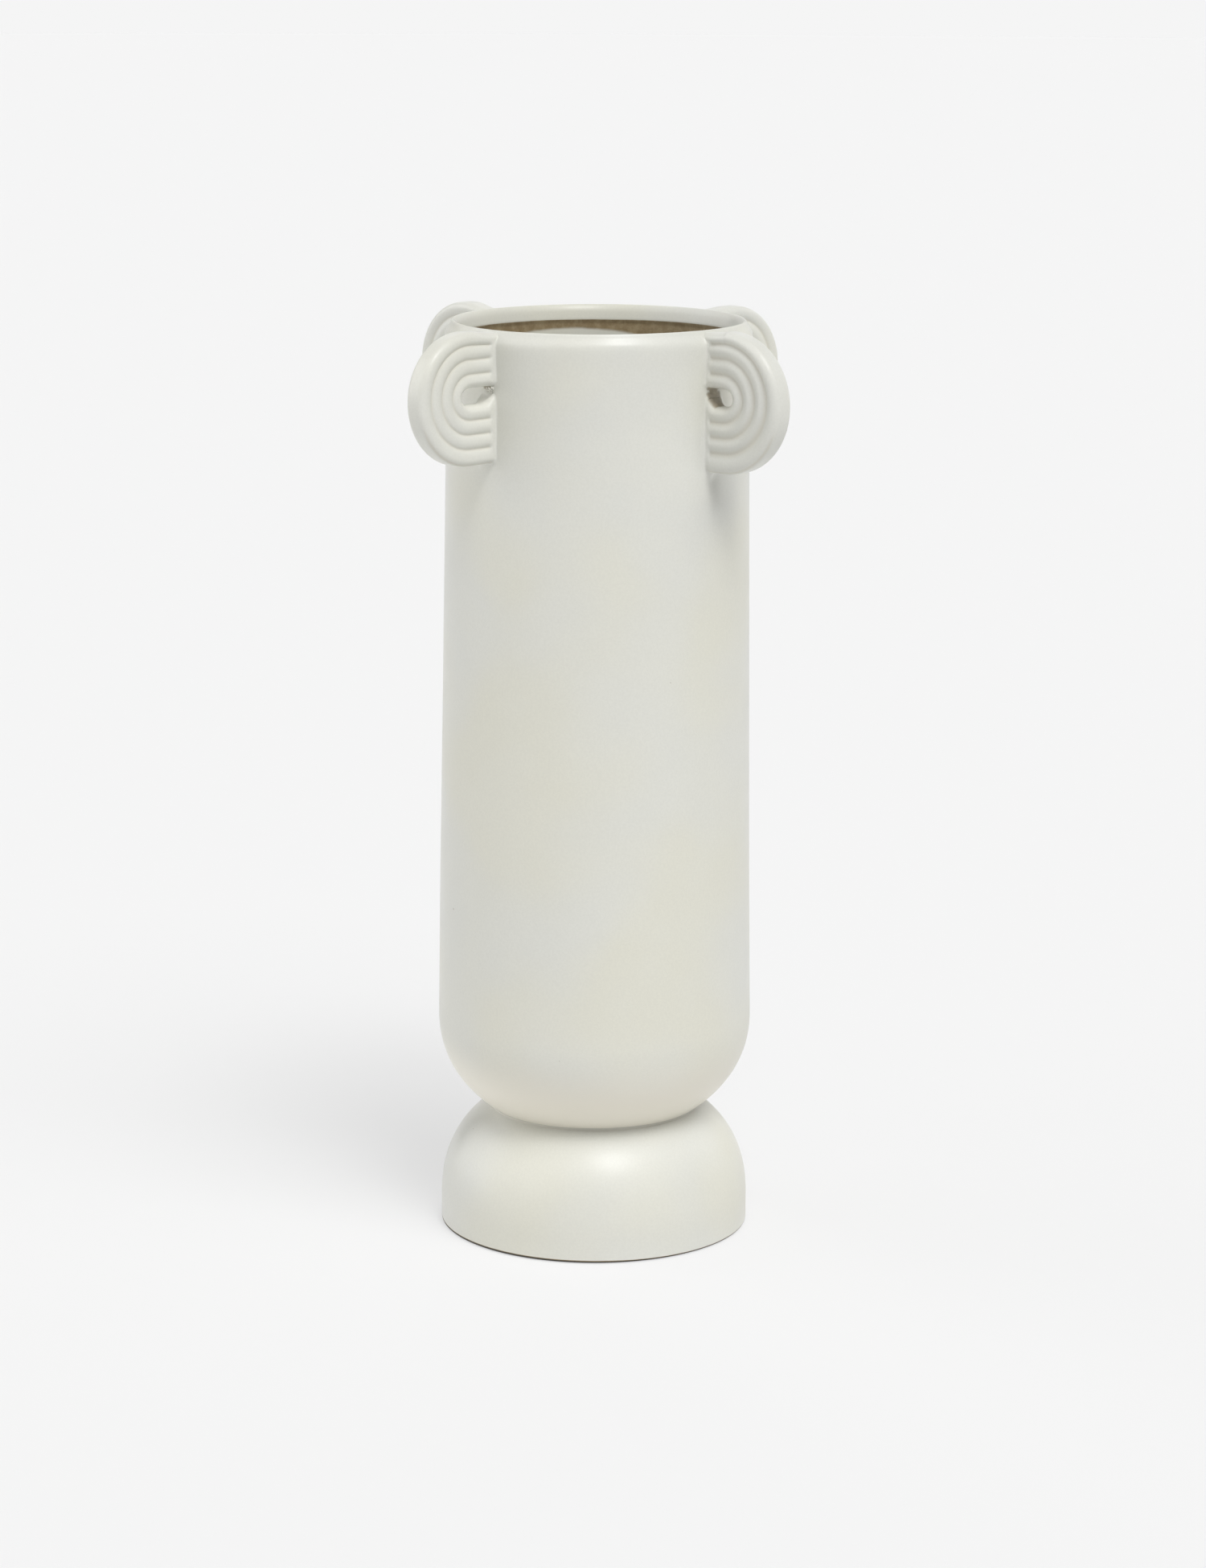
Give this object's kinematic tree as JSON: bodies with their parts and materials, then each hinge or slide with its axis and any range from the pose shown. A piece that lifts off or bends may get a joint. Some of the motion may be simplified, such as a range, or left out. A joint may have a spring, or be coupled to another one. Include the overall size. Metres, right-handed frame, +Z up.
{
  "type": "bud vase",
  "caption": "Tall round ceramic vase on a domed hollow foot, with ridged looped ears set radially round its mouth.",
  "frame": {"origin": "centre of the foot's resting face, on the table", "axes": "+Z up along the vessel's axis, -Y towards the front, with the ears on the diagonals between X and Y"},
  "size_m": [0.1208, 0.1203, 0.3061],
  "materials": {
    "satin_glaze": "satin",
    "glazed_slip": "satin"
  },
  "bodies": {
    "root": {"vessel_body": "satin_glaze", "pedestal_foot": "satin_glaze", "neck_slip_joint": "glazed_slip", "ear_front_left": "satin_glaze", "ear_front_right": "satin_glaze", "ear_back_left": "satin_glaze", "ear_back_right": "satin_glaze", "slip_joint_front_left": "glazed_slip", "slip_joint_front_right": "glazed_slip", "slip_joint_back_left": "glazed_slip", "slip_joint_back_right": "glazed_slip"}
  },
  "joints": []
}
